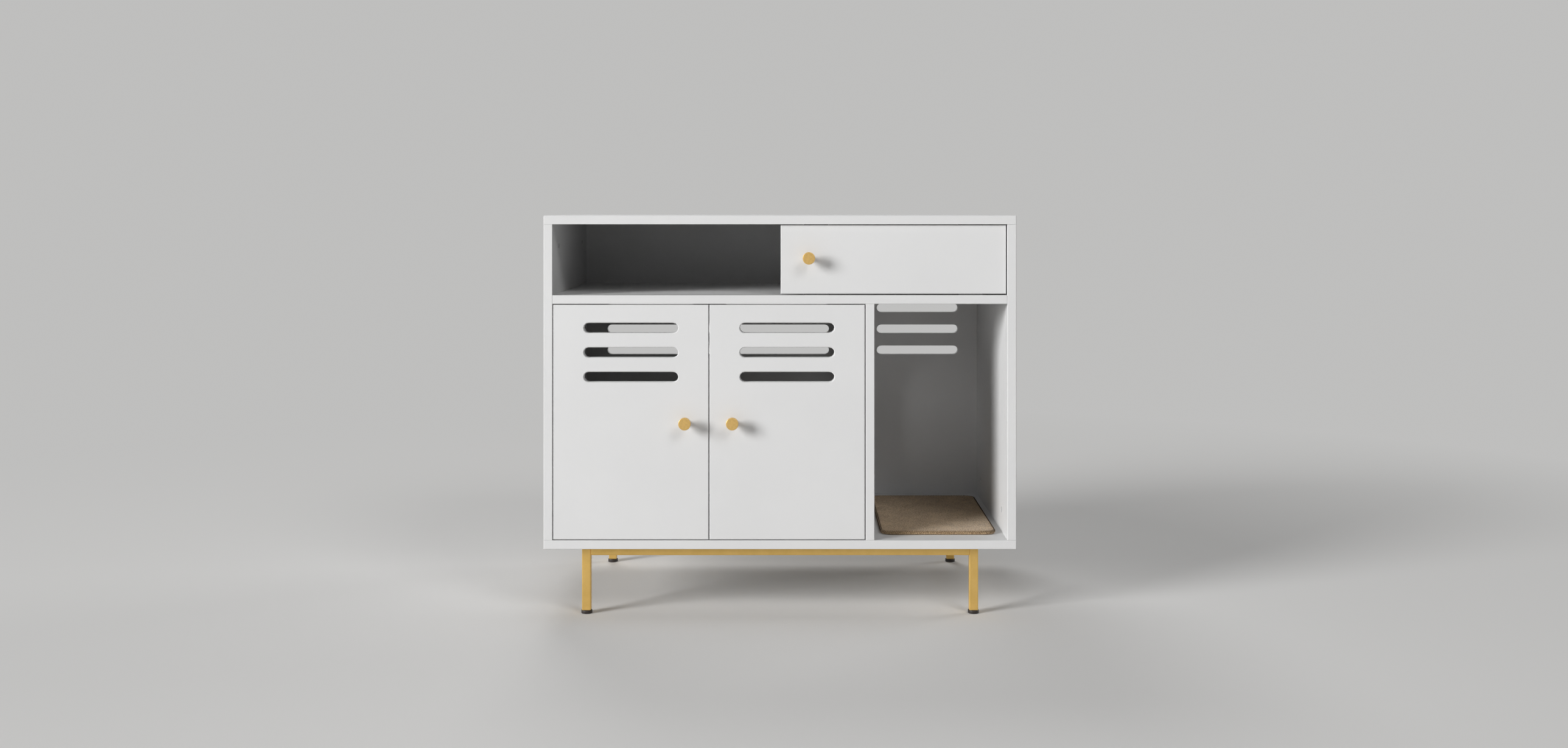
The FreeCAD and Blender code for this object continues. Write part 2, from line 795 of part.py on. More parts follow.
def foot(side, y):
    """A levelling foot: a pad with a bevelled base on a threaded stud."""
    x = side * leg_middle_x
    top = foot_height - running_gap
    outline = [(0, 0), (foot_radius - foot_rim, 0), (foot_radius, foot_rim), (foot_radius, top), (0, top)]
    points = [vec(x + radius, y, z) for radius, z in outline]
    pad = Part.Face(Part.makePolygon(points + [points[0]])).revolve(vec(x, y, 0), Z, 360)
    return fuse([pad, peg(foot_stud_radius, foot_stud_length, vec(x, y, top), Z, cup_sides)])


# Mat

def scratch_mat():
    y0 = front_y + mat_front_set
    z0 = floor_z + running_gap
    shape = block(niche_middle - mat_width / 2, niche_middle + mat_width / 2, y0, y0 + mat_length,
                  z0, z0 + mat_thickness)
    return round_edges(shape, mat_corner, lambda edge: runs_along(edge, "z"))


def build():
    """Every node by name.  Fittings come first, because they bring the holes of the boards."""
    nodes = board_fittings()
    hinges = {side: hinge_pieces(side) for side in ("left", "right")}
    for side, pieces in hinges.items():
        for kind in ("arms", "plates", "cups", "pins", "cup_screws"):
            nodes[side + "_hinge_" + kind] = group(pieces[kind])
    for kind in ("arm_screws", "plate_screws"):
        nodes["hinge_" + kind] = group(hinges["left"][kind] + hinges["right"][kind])
    nodes.update(catch_parts())
    nodes["base_screws"] = group(base_screws())

    nodes["top_panel"] = top_panel()
    nodes["bottom_panel"] = bottom_panel()
    nodes["left_side_panel"] = side_panel(-1)
    nodes["right_side_panel"] = side_panel(1)
    nodes["shelf_panel"] = shelf_panel()
    nodes["divider_panel"] = divider_panel()
    nodes["back_panel"] = back_panel()

    for side in ("left", "right"):
        x, z = knob_place(side)
        nodes[side + "_door"] = door_panel(side)
        nodes[side + "_door_knob"] = knob(x, front_y, z)
        nodes[side + "_door_knob_screw"] = knob_screw(x, front_y, door_back_y, z)
        nodes[side + "_strike_plate"] = strike_plate(side)

    x, z = slide_knob_place()
    nodes["lower_track"] = track(upper=False)
    nodes["upper_track"] = track(upper=True)
    nodes["sliding_door"] = sliding_door()
    nodes["sliding_door_glides"] = group([glide(place, False) for place in glide_places()])
    nodes["sliding_door_guides"] = group([glide(place, True) for place in glide_places()])
    nodes["sliding_door_knob"] = knob(x, slide_front_y, z)
    nodes["sliding_door_knob_screw"] = knob_screw(x, slide_front_y, slide_front_y + slide_thickness, z)

    nodes["left_leg_frame"] = leg_frame(-1)
    nodes["right_leg_frame"] = leg_frame(1)
    nodes["front_rail"] = cross_rail(leg_front_y)
    nodes["rear_rail"] = cross_rail(leg_rear_y - tube)
    nodes["rail_inserts"] = group(rail_inserts())
    nodes["rail_bolts"] = group(rail_bolts())
    nodes["leg_plugs"] = group(leg_plugs())
    for name, side in (("left", -1), ("right", 1)):
        for end, y in zip(("front", "rear"), leg_middles_y):
            nodes[end + "_" + name + "_foot"] = foot(side, y)

    nodes["scratch_mat"] = scratch_mat()
    return nodes


os.makedirs("parts", exist_ok=True)
for name, shape in build().items():
    shape.exportStep("parts/" + name + ".step")
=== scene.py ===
import json
import math

import bmesh
import bpy
from mathutils import Matrix, Quaternion, Vector, noise


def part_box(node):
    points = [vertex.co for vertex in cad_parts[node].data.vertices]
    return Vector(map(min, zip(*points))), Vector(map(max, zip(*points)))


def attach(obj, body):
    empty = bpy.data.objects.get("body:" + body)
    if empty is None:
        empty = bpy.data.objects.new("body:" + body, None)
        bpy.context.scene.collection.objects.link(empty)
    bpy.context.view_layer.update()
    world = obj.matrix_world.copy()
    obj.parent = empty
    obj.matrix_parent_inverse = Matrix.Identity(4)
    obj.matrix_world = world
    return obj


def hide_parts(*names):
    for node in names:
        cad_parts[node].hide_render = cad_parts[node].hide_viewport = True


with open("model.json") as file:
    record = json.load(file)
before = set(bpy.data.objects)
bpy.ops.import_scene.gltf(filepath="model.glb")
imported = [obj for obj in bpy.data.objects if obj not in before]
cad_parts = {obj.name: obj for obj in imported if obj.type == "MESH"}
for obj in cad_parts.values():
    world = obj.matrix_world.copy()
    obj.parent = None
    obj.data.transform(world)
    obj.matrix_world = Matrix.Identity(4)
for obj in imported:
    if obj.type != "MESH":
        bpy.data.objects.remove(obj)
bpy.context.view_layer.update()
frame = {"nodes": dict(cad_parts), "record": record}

# All sizes are in metres.

# Boards: the front edges' plane, the edge band's thickness, and the litter room's middle
FRONT_Y = -0.212
BAND = 0.0008
ROOM_MIDDLE = -0.12

# Knobs
KNOB_OUT = 0.026
KNOB_HEAD = 0.008
KNOB_RADIUS = 0.0104
KNOB_NECK = 0.0046
KNOB_FOOT = 0.0068
KNOB_FOOT_HEIGHT = 0.0006
KNOB_FLARE = 0.0042
KNOB_FLARE_END = KNOB_RADIUS - 0.0006
KNOB_BACK_RIM = 0.0005
KNOB_FRONT_RIM = 0.0007

# Feet and their studs
FOOT_TOP = 0.0062
FOOT_RADIUS = 0.0094
FOOT_BASE_INSET = 0.0016
FOOT_BASE_ROUND = 0.0010
FOOT_SHOULDER = 0.0016
FOOT_WAIST = 0.0004
FOOT_WAIST_HEIGHTS = (0.0026, 0.0029, 0.0033, 0.0036)
STUD_RADIUS = 0.0040
STUD_TOP = 0.0222

# Hinge cups: each side's wall and the way from it into the room, then the cup
HINGE_WALLS = {"left": (-0.385, 1), "right": (0.145, -1)}
CUP_SET = 0.024
CUP_EAR_SHIFT = 0.0055
CUP_EAR_HALF = 0.0065
CUP_EAR_REACH = 0.033
CUP_RIM = 0.0199
CUP_WALL_RADIUS = 0.0165
CUP_HOLLOW = 0.0154
CUP_PLATE = 0.0012
CUP_FLOOR = 0.0009
CUP_MIDDLE = 0.002
CUP_STEPS = 144

# Screws and cams, with each cross recess as its arm, its half width and its depth
SCREW_HEAD = 0.0022
SCREW_RADIUS = 0.0038
SCREW_POINT = 0.0022
SCREW_STEPS = 18
SCREW_CROSS = (0.0019, 0.00045, 0.0012)
SHANK_RADIUS = 0.0019
THREAD_PITCH = 0.0014
CAM_RADIUS = 0.0047
CAM_BEVEL = 0.0003
CAM_STEPS = 32
CAM_CROSS = (0.0028, 0.0006, 0.0022)

# Mat and the thread of its oversewn edge
MAT_CORNER = 0.02
MAT_FACE_DROP = 0.0006
SEWING_RADIUS = 0.00036
STITCH = 0.0032
STITCH_DEPTH = 0.0030

TURN_STEPS = 96

# The pale grey behind the cabinet, and the world's strength where it lights surfaces
BACKDROP = (0.52, 0.518, 0.512)
AMBIENT = 0.07

# The floor's width, and the distances over which it fades to the backdrop
FLOOR_SIZE = 40
FADE_START = 1.0
FADE_END = 2.6

# Lamps: name, place, target, watts and width
LAMPS = (
    ("key", (-9.4, -6.6, 3.7), (0.0, -0.2, 0.35), 1480, 4.8),
    ("fill", (2.2, -3.6, 3.6), (0.0, -0.2, 0.35), 55, 2.0),
    ("rear", (-1.2, 4.0, 5.0), (0.0, 0.2, 0.35), 100, 2.6),
    ("side", (7.6, 3.4, 3.4), (0.0, 0.0, 0.35), 150, 4.0),
)

# The photograph's view
CAMERA_AT = (0.0197, -2.844, 0.688)
CAMERA_LENS = 35.72
CAMERA_SHIFT = (-0.00485, -0.1042)


# Node helpers

def new_material(name):
    """An empty material with a shader whose colour, roughness and bump are then linked."""
    material = bpy.data.materials.new(name)
    material.use_nodes = True
    tree = material.node_tree
    tree.nodes.clear()
    output = tree.nodes.new("ShaderNodeOutputMaterial")
    shader = tree.nodes.new("ShaderNodeBsdfPrincipled")
    tree.links.new(shader.outputs["BSDF"], output.inputs["Surface"])
    return material, tree, shader


def place(tree, stretch=(1, 1, 1)):
    """The point on the object, in metres, stretched along its axes."""
    coordinates = tree.nodes.new("ShaderNodeTexCoord")
    mapping = tree.nodes.new("ShaderNodeMapping")
    mapping.inputs["Scale"].default_value = stretch
    tree.links.new(coordinates.outputs["Object"], mapping.inputs["Vector"])
    return mapping.outputs["Vector"]


def speckle(tree, vector, scale, detail=2.0, rough=0.5):
    node = tree.nodes.new("ShaderNodeTexNoise")
    node.inputs["Scale"].default_value = scale
    node.inputs["Detail"].default_value = detail
    node.inputs["Roughness"].default_value = rough
    tree.links.new(vector, node.inputs["Vector"])
    return node.outputs["Fac"]


def ramp(tree, factor, low, high, start=0.3, end=0.7):
    """A colour that goes from low to high as the factor goes from start to end."""
    node = tree.nodes.new("ShaderNodeValToRGB")
    first, last = node.color_ramp.elements
    first.position = start
    last.position = end
    first.color = (*low, 1)
    last.color = (*high, 1)
    tree.links.new(factor, node.inputs["Fac"])
    return node.outputs["Color"]


def span(tree, factor, low, high, start=0.3, end=0.7):
    """A number that goes from low to high as the factor goes from start to end."""
    node = tree.nodes.new("ShaderNodeMapRange")
    for key, value in (("From Min", start), ("From Max", end), ("To Min", low), ("To Max", high)):
        node.inputs[key].default_value = value
    tree.links.new(factor, node.inputs["Value"])
    return node.outputs["Result"]


def maths(tree, operation, a, b=None):
    node = tree.nodes.new("ShaderNodeMath")
    node.operation = operation
    for socket, value in zip(node.inputs, (a, b)):
        if value is None:
            continue
        if isinstance(value, (int, float)):
            socket.default_value = value
        else:
            tree.links.new(value, socket)
    return node.outputs["Value"]


def blended(tree, factor, a, b):
    """Colour a where the factor is 0 and colour b where it is 1."""
    node = tree.nodes.new("ShaderNodeMix")
    node.data_type = "RGBA"
    tree.links.new(factor, node.inputs["Factor"])
    for socket, value in ((node.inputs[6], a), (node.inputs[7], b)):
        if isinstance(value, tuple):
            socket.default_value = (*value, 1)
        else:
            tree.links.new(value, socket)
    return node.outputs[2]


def looked_at(tree):
    """1 where the camera, a mirror or glass looks, and 0 for the light that falls on surfaces."""
    path = tree.nodes.new("ShaderNodeLightPath")
    seen = maths(tree, "MAXIMUM", path.outputs["Is Camera Ray"], path.outputs["Is Glossy Ray"])
    return maths(tree, "MAXIMUM", seen, path.outputs["Is Transmission Ray"])


def bumped(tree, shader, height, strength, distance):
    node = tree.nodes.new("ShaderNodeBump")
    node.inputs["Strength"].default_value = strength
    node.inputs["Distance"].default_value = distance
    tree.links.new(height, node.inputs["Height"])
    tree.links.new(node.outputs["Normal"], shader.inputs["Normal"])


# Materials

def board_material(name, banded):
    """White melamine: faint pearl grain, cloudy sheen, and the glue line behind the edge band."""
    material, tree, shader = new_material(name)
    vector = place(tree)
    tone = ramp(tree, speckle(tree, vector, 5.0, 4.0), (0.708, 0.708, 0.708), (0.732, 0.732, 0.732))
    if banded:
        axes = tree.nodes.new("ShaderNodeSeparateXYZ")
        tree.links.new(vector, axes.inputs["Vector"])
        off = maths(tree, "ABSOLUTE", maths(tree, "SUBTRACT", axes.outputs["Y"], FRONT_Y + BAND))
        line = span(tree, off, 0.45, 0.0, 0.0, 0.00025)
        tone = blended(tree, line, tone, (0.42, 0.41, 0.39))
    tree.links.new(tone, shader.inputs["Base Color"])
    sheen = span(tree, speckle(tree, vector, 60.0, 3.0), 0.46, 0.50)
    tree.links.new(sheen, shader.inputs["Roughness"])
    shader.inputs["Specular IOR Level"].default_value = 0.35
    bumped(tree, shader, speckle(tree, vector, 1400.0, 2.0), 0.12, 0.0002)
    return material


def gold_paint():
    """Satin gold coat on tube: fine grain, and scattered spots of painted highlight in a brighter gold."""
    material, tree, shader = new_material("gold_coat")
    vector = place(tree)
    tone = ramp(tree, speckle(tree, vector, 38.0, 5.0, 0.6), (0.78, 0.505, 0.145), (0.87, 0.575, 0.185))
    # Painted highlight: random spots blended towards the bright gold of a highlight.
    painted_glints = span(tree, speckle(tree, vector, 160.0, 6.0, 0.7), 0.0, 0.35, 0.62, 0.78)
    tree.links.new(blended(tree, painted_glints, tone, (0.92, 0.68, 0.31)), shader.inputs["Base Color"])
    shader.inputs["Metallic"].default_value = 0.72
    tree.links.new(span(tree, speckle(tree, vector, 90.0, 3.0), 0.30, 0.42), shader.inputs["Roughness"])
    bumped(tree, shader, speckle(tree, vector, 2200.0, 2.0), 0.15, 0.0001)
    return material


def turned_gold():
    """Gold knob: rings left by the lathe about its own axis."""
    material, tree, shader = new_material("turned_gold")
    vector = place(tree)
    rings = tree.nodes.new("ShaderNodeTexWave")
    rings.wave_type = "RINGS"
    rings.rings_direction = "Y"
    rings.inputs["Scale"].default_value = 620.0
    rings.inputs["Distortion"].default_value = 0.6
    tree.links.new(vector, rings.inputs["Vector"])
    tone = ramp(tree, speckle(tree, vector, 260.0, 4.0), (0.73, 0.475, 0.16), (0.82, 0.54, 0.19))
    tree.links.new(tone, shader.inputs["Base Color"])
    shader.inputs["Metallic"].default_value = 0.7
    tree.links.new(span(tree, rings.outputs["Fac"], 0.34, 0.42, 0.0, 1.0), shader.inputs["Roughness"])
    bumped(tree, shader, rings.outputs["Fac"], 0.10, 0.00006)
    return material


def plated(name, low, high, rough, stretch):
    """Plated steel with drawn streaks and a few duller clouds."""
    material, tree, shader = new_material(name)
    streaks = speckle(tree, place(tree, stretch), 500.0, 3.0)
    clouds = speckle(tree, place(tree), 60.0, 4.0)
    tree.links.new(ramp(tree, clouds, low, high), shader.inputs["Base Color"])
    shader.inputs["Metallic"].default_value = 1.0
    tree.links.new(span(tree, streaks, rough - 0.06, rough + 0.10), shader.inputs["Roughness"])
    bumped(tree, shader, streaks, 0.05, 0.0001)
    return material


def moulded(name, low, high, rough, grain):
    """Moulded or extruded plastic with a fine grain."""
    material, tree, shader = new_material(name)
    vector = place(tree)
    tree.links.new(ramp(tree, speckle(tree, vector, 120.0, 4.0), low, high), shader.inputs["Base Color"])
    tree.links.new(span(tree, speckle(tree, vector, 300.0, 2.0), rough - 0.06, rough + 0.06),
                   shader.inputs["Roughness"])
    bumped(tree, shader, speckle(tree, vector, grain, 2.0), 0.2, 0.0002)
    return material


def beech():
    """Beech dowels: straight grain with short dark flecks."""
    material, tree, shader = new_material("beech")
    grain = speckle(tree, place(tree, (1, 1, 0.08)), 900.0, 4.0)
    tree.links.new(ramp(tree, grain, (0.50, 0.33, 0.18), (0.66, 0.48, 0.29)), shader.inputs["Base Color"])
    shader.inputs["Roughness"].default_value = 0.7
    bumped(tree, shader, grain, 0.3, 0.0002)
    return material


def mat_pile():
    """The scratch mat's face: short brown and beige fibres, matted in cloudy patches."""
    material, tree, shader = new_material("mat_pile")
    vector = place(tree)
    fibres = speckle(tree, vector, 520.0, 4.0, 0.7)
    clouds = speckle(tree, vector, 28.0, 3.0)
    both = maths(tree, "ADD", maths(tree, "MULTIPLY", fibres, 0.85), maths(tree, "MULTIPLY", clouds, 0.15))
    tree.links.new(ramp(tree, both, (0.20, 0.123, 0.06), (0.70, 0.505, 0.30), 0.38, 0.62),
                   shader.inputs["Base Color"])
    shader.inputs["Roughness"].default_value = 0.95
    shader.inputs["Specular IOR Level"].default_value = 0.15
    shader.inputs["Sheen Weight"].default_value = 0.25
    bumped(tree, shader, fibres, 0.9, 0.0012)
    return material


def mat_thread():
    """The dark brown thread of the mat's oversewn edge."""
    material, tree, shader = new_material("mat_thread")
    twist = speckle(tree, place(tree), 2600.0, 2.0)
    tree.links.new(ramp(tree, twist, (0.05, 0.033, 0.021), (0.13, 0.088, 0.055)), shader.inputs["Base Color"])
    shader.inputs["Roughness"].default_value = 0.85
    bumped(tree, shader, twist, 0.5, 0.0003)
    return material


# Pieces that replace plain solids

def as_object(name, bm, origin, material):
    mesh = bpy.data.meshes.new(name)
    bmesh.ops.recalc_face_normals(bm, faces=bm.faces)
    bm.to_mesh(mesh)
    bm.free()
    for face in mesh.polygons:
        face.use_smooth = True
    mesh.materials.append(material)
    obj = bpy.data.objects.new(name, mesh)
    obj.location = origin
    bpy.context.collection.objects.link(obj)
    return obj


def soften(obj, angle=32):
    """Keeps edges sharper than the angle crisp, and shades the rest smooth."""
    for edge in obj.data.edges:
        edge.use_edge_sharp = False
    bm = bmesh.new()
    bm.from_mesh(obj.data)
    for edge in bm.edges:
        if len(edge.link_faces) == 2 and edge.calc_face_angle(0) > math.radians(angle):
            edge.smooth = False
    bm.to_mesh(obj.data)
    bm.free()


def turned(name, profile, axis, origin, material, steps=TURN_STEPS):
    """A solid of revolution: profile is radius and height pairs from pole to pole along the axis."""
    bm = bmesh.new()
    rings = []
    for radius, height in profile:
        if radius == 0:
            rings.append([bm.verts.new(axis * height)])
            continue
        side = Vector((0, 0, 1)) if abs(axis.z) < 0.5 else Vector((1, 0, 0))
        other = axis.cross(side)
        verts = []
        for i in range(steps):
            angle = 2 * math.pi * i / steps
            out = side * math.cos(angle) + other * math.sin(angle)
            verts.append(bm.verts.new(axis * height + out * radius))
        rings.append(verts)
    for low, high in zip(rings, rings[1:]):
        for i in range(steps):
            a, b = low[i % len(low)], low[(i + 1) % len(low)]
            c, d = high[(i + 1) % len(high)], high[i % len(high)]
            corners = [v for n, v in enumerate((a, b, c, d)) if v not in (a, b, c, d)[:n]]
            if len(corners) > 2:
                bm.faces.new(corners)
    obj = as_object(name, bm, origin, material)
    soften(obj)
    return obj


def arc(centre_r, centre_h, radius, start, end, count):
    """Points of a small rounding in a profile, with angles in degrees."""
    points = []
    for i in range(count + 1):
        angle = math.radians(start + (end - start) * i / count)
        points.append((centre_r + radius * math.cos(angle), centre_h + radius * math.sin(angle)))
    return points


def knob_profile():
    """From the foot on the door to the flat face, with rounded rims and a waisted neck."""
    back_rim = KNOB_BACK_RIM
    front_rim = KNOB_FRONT_RIM
    neck_end = KNOB_OUT - KNOB_HEAD
    profile = [(0, 0), (KNOB_FOOT, 0), (KNOB_FOOT, KNOB_FOOT_HEIGHT)]
    for i in range(1, 7):
        t = i / 6
        radius = KNOB_FOOT + (KNOB_NECK - KNOB_FOOT) * (1 - (1 - t) ** 2)
        profile.append((radius, KNOB_FOOT_HEIGHT + t * (neck_end / 3)))
    for i in range(1, 9):
        t = i / 8
        flare = (KNOB_FLARE_END - KNOB_NECK) * t ** 2.2
        profile.append((KNOB_NECK + flare, neck_end - KNOB_FLARE + KNOB_FLARE * t))
    profile += arc(KNOB_RADIUS - back_rim, neck_end + back_rim, back_rim, -90, 0, 4)
    profile += arc(KNOB_RADIUS - front_rim, KNOB_OUT - front_rim, front_rim, 0, 90, 6)
    for share in (0.8, 0.55, 0.3):
        profile.append((KNOB_RADIUS * share, KNOB_OUT))
    profile.append((0, KNOB_OUT))
    return profile


def foot_profile():
    """A moulded pad with a bevelled base, a waist line and a rounded shoulder."""
    base = FOOT_BASE_ROUND
    shoulder = FOOT_SHOULDER
    profile = [(0, 0), (FOOT_RADIUS - FOOT_BASE_INSET, 0)]
    profile += arc(FOOT_RADIUS - base, base, base, -60, 0, 4)
    for inset, height in zip((0, FOOT_WAIST, FOOT_WAIST, 0), FOOT_WAIST_HEIGHTS):
        profile.append((FOOT_RADIUS - inset, height))
    profile += arc(FOOT_RADIUS - shoulder, FOOT_TOP - shoulder, shoulder, 0, 90, 6)
    profile += [(STUD_RADIUS, FOOT_TOP), (STUD_RADIUS, STUD_TOP), (0, STUD_TOP)]
    return profile


def make_knobs(material):
    knobs = (("left_door_knob", "left_door"), ("right_door_knob", "right_door"),
             ("sliding_door_knob", "sliding_door"))
    for node, body in knobs:
        low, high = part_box(node)
        origin = Vector(((low.x + high.x) / 2, high.y, (low.z + high.z) / 2))
        piece = turned(node + "_turned", knob_profile(), Vector((0, -1, 0)), origin, material)
        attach(piece, body)
        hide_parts(node)


def make_feet(material):
    for node in ("front_left_foot", "front_right_foot", "rear_left_foot", "rear_right_foot"):
        low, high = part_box(node)
        origin = Vector(((low.x + high.x) / 2, (low.y + high.y) / 2, low.z))
        piece = turned(node + "_moulded", foot_profile(), Vector((0, 0, 1)), origin, material, 48)
        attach(piece, node)
        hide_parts(node)


def solids_of(node):
    """The lowest and highest corners of each solid of a CAD node, in the same order every run."""
    bm = bmesh.new()
    bm.from_mesh(frame["nodes"][node].data)
    bmesh.ops.remove_doubles(bm, verts=bm.verts, dist=1e-6)
    left = set(bm.verts)
    boxes = []
    while left:
        wave = [left.pop()]
        points = []
        while wave:
            vert = wave.pop()
            points.append(vert.co.copy())
            for edge in vert.link_edges:
                other = edge.other_vert(vert)
                if other in left:
                    left.remove(other)
                    wave.append(other)
        low = Vector([min(point[i] for point in points) for i in range(3)])
        high = Vector([max(point[i] for point in points) for i in range(3)])
        boxes.append((low, high))
    bm.free()
    return sorted(boxes, key=lambda box: tuple(box[0]))


def ring(bm, radius, height, steps):
    verts = []
    for i in range(steps):
        angle = 2 * math.pi * i / steps
        verts.append(bm.verts.new((radius * math.cos(angle), radius * math.sin(angle), height)))
    return verts


def bridge(bm, a, b):
    for i in range(len(a)):
        j = (i + 1) % len(a)
        bm.faces.new((a[i], a[j], b[j], b[i]))


def cross_points(arm, half):
    """The corners of a plus sign, one arm after another."""
    quarter = ((arm, -half), (arm, half), (half, half))
    points = []
    for turn in range(4):
        c, k = ((1, 0), (0, 1), (-1, 0), (0, -1))[turn]
        points += [(x * c - y * k, x * k + y * c) for x, y in quarter]
    return points


def cross_recess(bm, rim, height, cross):
    """Closes a round rim with a face that has a tapered cross sunk in it."""
    arm, half, depth = cross
    corners = cross_points(arm, half)
    top = [bm.verts.new((x, y, height)) for x, y in corners]
    low = [bm.verts.new((x * 0.6, y * 0.6, height - depth)) for x, y in corners]
    edges = []
    for loop in (rim, top):
        for i, vert in enumerate(loop):
            other = loop[(i + 1) % len(loop)]
            edges.append(bm.edges.get((vert, other)) or bm.edges.new((vert, other)))
    bmesh.ops.triangle_fill(bm, use_beauty=True, edges=edges)
    bridge(bm, top, low)
    bm.faces.new(low)


def screw_mesh(bm, shank, thread_from):
    """A pan head with a cross recess on +Z, and a threaded shank with a point below z = 0."""
    steps = SCREW_STEPS
    pitch = THREAD_PITCH
    rings = [ring(bm, 0.0002, -shank, steps), ring(bm, SHANK_RADIUS * 0.75, -shank + SCREW_POINT, steps)]
    turns = max(int((shank - SCREW_POINT - thread_from) / pitch), 1)
    for i in range(turns):
        low = -shank + SCREW_POINT + i * pitch
        rings.append(ring(bm, SHANK_RADIUS, low + 0.45 * pitch, steps))
        rings.append(ring(bm, SHANK_RADIUS * 0.72, low + 0.9 * pitch, steps))
    rings.append(ring(bm, SHANK_RADIUS * 0.9, 0, steps))
    rings.append(ring(bm, SCREW_RADIUS - 0.0002, 0, steps))
    for share, height in ((1.0, 0.1), (1.0, 0.35), (0.94, 0.65), (0.82, 0.86), (0.66, 1.0)):
        rings.append(ring(bm, SCREW_RADIUS * share, SCREW_HEAD * height, steps))
    for a, b in zip(rings, rings[1:]):
        bridge(bm, a, b)
    bm.faces.new(list(reversed(rings[0])))
    cross_recess(bm, rings[-1], SCREW_HEAD, SCREW_CROSS)


def cam_mesh(bm, length):
    """A cam seen from its face: a bevelled disc with a cross, and a barrel below."""
    outline = ((0, -length), (0, -CAM_BEVEL), (CAM_BEVEL, 0), (0.0009, 0), (0.0011, -CAM_BEVEL))
    rings = [ring(bm, CAM_RADIUS - inset, height, CAM_STEPS) for inset, height in outline]
    for a, b in zip(rings, rings[1:]):
        bridge(bm, a, b)
    bm.faces.new(list(reversed(rings[0])))
    cross_recess(bm, rings[-1], -CAM_BEVEL, CAM_CROSS)


def placed_copies(name, node, body, makers, material):
    """One piece in place of a node.  makers holds each part's mesh writer, place, way and turn."""
    bm = bmesh.new()
    for writer, at, way, turn in makers:
        part = bmesh.new()
        writer(part)
        aim = Vector(way).to_track_quat("Z", "Y") @ Quaternion((0, 0, 1), turn)
        part.transform(aim.to_matrix().to_4x4())
        part.transform(Matrix.Translation(at))
        mesh = bpy.data.meshes.new("part")
        part.to_mesh(mesh)
        part.free()
        bm.from_mesh(mesh)
        bpy.data.meshes.remove(mesh)
    piece = as_object(name, bm, (0, 0, 0), material)
    soften(piece)
    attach(piece, body)
    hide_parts(node)


def make_screws(node, body, way, material, thread_from=0.0):
    """Fine screws in place of a node's plain ones.  way gives where the head of each one points."""
    makers = []
    for i, (low, high) in enumerate(solids_of(node)):
        middle = (low + high) / 2
        out = way(middle)
        axis = max(range(3), key=lambda k: abs(out[k]))
        face = high[axis] if out[axis] > 0 else low[axis]
        at = middle.copy()
        at[axis] = face - out[axis] * SCREW_HEAD
        shank = high[axis] - low[axis] - SCREW_HEAD
        makers.append((lambda bm, length=shank: screw_mesh(bm, length, thread_from), at, out, 0.4 + 1.1 * i))
    placed_copies(node + "_cut", node, body, makers, material)


def into_room(middle):
    """The way from the board that carries a hinge into the litter room."""
    return (1, 0, 0) if middle.x < ROOM_MIDDLE else (-1, 0, 0)


def make_cams(material):
    makers = []
    for i, (low, high) in enumerate(solids_of("cam_locks")):
        size = high - low
        middle = (low + high) / 2
        axis = max(range(3), key=lambda k: size[k])
        if axis == 0:
            way = (-1, 0, 0) if middle.x > 0 else (1, 0, 0)
        else:
            way = (0, 1, 0) if axis == 1 else (0, 0, -1)
        at = middle.copy()
        at[axis] = high[axis] if way[axis] > 0 else low[axis]
        makers.append((lambda bm, length=size[axis]: cam_mesh(bm, length), at, way, 0.3 + 0.9 * i))
    placed_copies("cam_locks_cast", "cam_locks", "cabinet", makers, material)


def flange_reach(angle, way):
    """How far the cup's flange reaches from its middle: the round rim or the upright ear."""
    c = math.cos(angle)
    k = math.sin(angle)
    reach = CUP_RIM
    straight = CUP_EAR_REACH - CUP_EAR_HALF
    side = CUP_EAR_SHIFT * way
    edge = side + CUP_EAR_HALF if c > 0 else side - CUP_EAR_HALF
    if abs(c) > 1e-6:
        far = edge / c
        if 0 < far and abs(far * k) <= straight:
            return max(reach, far)
    centre = Vector((side, straight if k > 0 else -straight))
    along = centre.x * c + centre.y * k
    gap = CUP_EAR_HALF ** 2 - (centre.length_squared - along ** 2)
    if gap > 0:
        reach = max(reach, along + math.sqrt(gap))
    return reach


def make_cups(side, material):
    """Pressed cups with a smooth flange, a rolled rim and a dished floor."""
    node = side + "_hinge_cups"
    wall, way = HINGE_WALLS[side]
    bm = bmesh.new()
    for low, high in solids_of(node):
        centre = Vector((wall + way * CUP_SET, 0, (low.z + high.z) / 2))
        top = high.y
        door = top - CUP_PLATE

        def loop(radius, y, inset=0.0):
            verts = []
            for i in range(CUP_STEPS):
                angle = 2 * math.pi * i / CUP_STEPS
                reach = radius or flange_reach(angle, way) - inset
                at = Vector((math.cos(angle) * reach, y, math.sin(angle) * reach))
                verts.append(bm.verts.new(centre + at))
            return verts

        rings = [loop(CUP_MIDDLE, low.y), loop(CUP_WALL_RADIUS - 0.0015, low.y),
                 loop(CUP_WALL_RADIUS, low.y + 0.0012), loop(CUP_WALL_RADIUS, door),
                 loop(None, door), loop(None, top - 0.0005),
                 loop(None, top - 0.00015, 0.00015), loop(None, top, 0.0005), loop(CUP_HOLLOW + 0.0009, top),
                 loop(CUP_HOLLOW + 0.0003, top - 0.0003), loop(CUP_HOLLOW, top - 0.0009),
                 loop(CUP_HOLLOW, low.y + 0.0024), loop(CUP_HOLLOW - 0.0008, low.y + 0.0013),
                 loop(CUP_HOLLOW - 0.0022, low.y + CUP_FLOOR), loop(CUP_MIDDLE, low.y + CUP_FLOOR)]
        for a, b in zip(rings, rings[1:]):
            bridge(bm, a, b)
        bm.faces.new(rings[0])
        bm.faces.new(rings[-1])
    piece = as_object(node + "_pressed", bm, (0, 0, 0), material)
    soften(piece)
    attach(piece, side + "_door")
    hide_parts(node)


